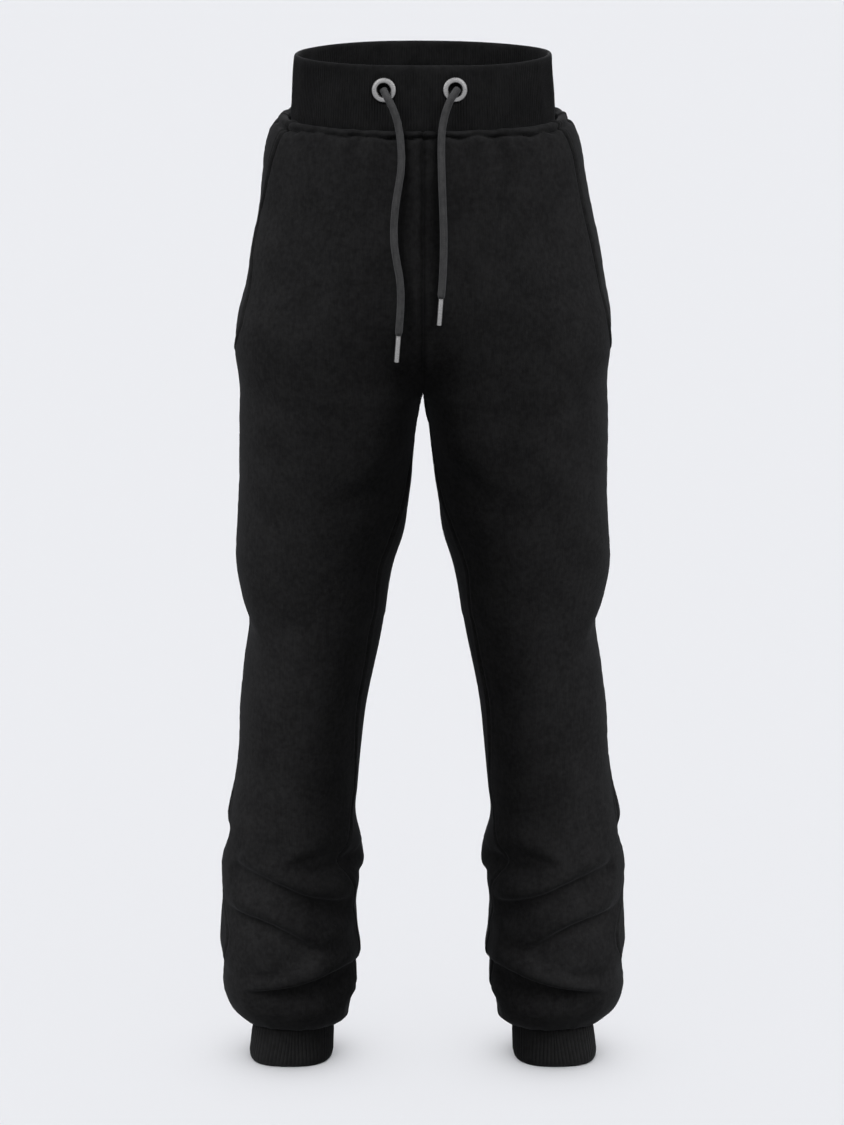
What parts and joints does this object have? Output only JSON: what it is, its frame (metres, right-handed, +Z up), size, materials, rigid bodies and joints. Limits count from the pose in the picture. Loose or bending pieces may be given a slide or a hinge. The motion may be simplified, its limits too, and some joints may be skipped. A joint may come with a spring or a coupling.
{
  "type": "jogger sweatpants in their worn shape",
  "caption": "Hollow worn-shape jogger sweatpants in brushed fleece, with a rib waistband, slant pockets, rib ankle cuffs, and a round drawcord with metal eyelets and tips",
  "frame": {"origin": "the middle of the waistband's ring, where the wearer's waist holds it, 0.988 m above the hems", "axes": "+Z up, -Y the front, +X the wearer's left"},
  "size_m": [0.4154, 0.269, 1.0264],
  "materials": {
    "brushed_fleece": "matt black cotton fleece, faintly napped",
    "rib_knit": "matt black cotton rib, fine vertical ribs",
    "round_cord": "dark grey round knitted cord",
    "satin_metal": "satin silver metal"
  },
  "bodies": {
    "root": {"waistband": "rib_knit", "front_left_hip": "brushed_fleece", "front_left_thigh": "brushed_fleece", "front_left_knee": "brushed_fleece", "front_left_shin": "brushed_fleece", "front_right_hip": "brushed_fleece", "front_right_thigh": "brushed_fleece", "front_right_knee": "brushed_fleece", "front_right_shin": "brushed_fleece", "back_left_hip": "brushed_fleece", "back_left_thigh": "brushed_fleece", "back_left_knee": "brushed_fleece", "back_left_shin": "brushed_fleece", "back_right_hip": "brushed_fleece", "back_right_thigh": "brushed_fleece", "back_right_knee": "brushed_fleece", "back_right_shin": "brushed_fleece", "pocket_left": "brushed_fleece", "pocket_right": "brushed_fleece", "cuff_left": "rib_knit", "cuff_right": "rib_knit", "eyelet_left": "satin_metal", "eyelet_right": "satin_metal", "drawcord_left": "round_cord", "drawcord_right": "round_cord", "aglet_left": "satin_metal", "aglet_right": "satin_metal"}
  },
  "joints": []
}
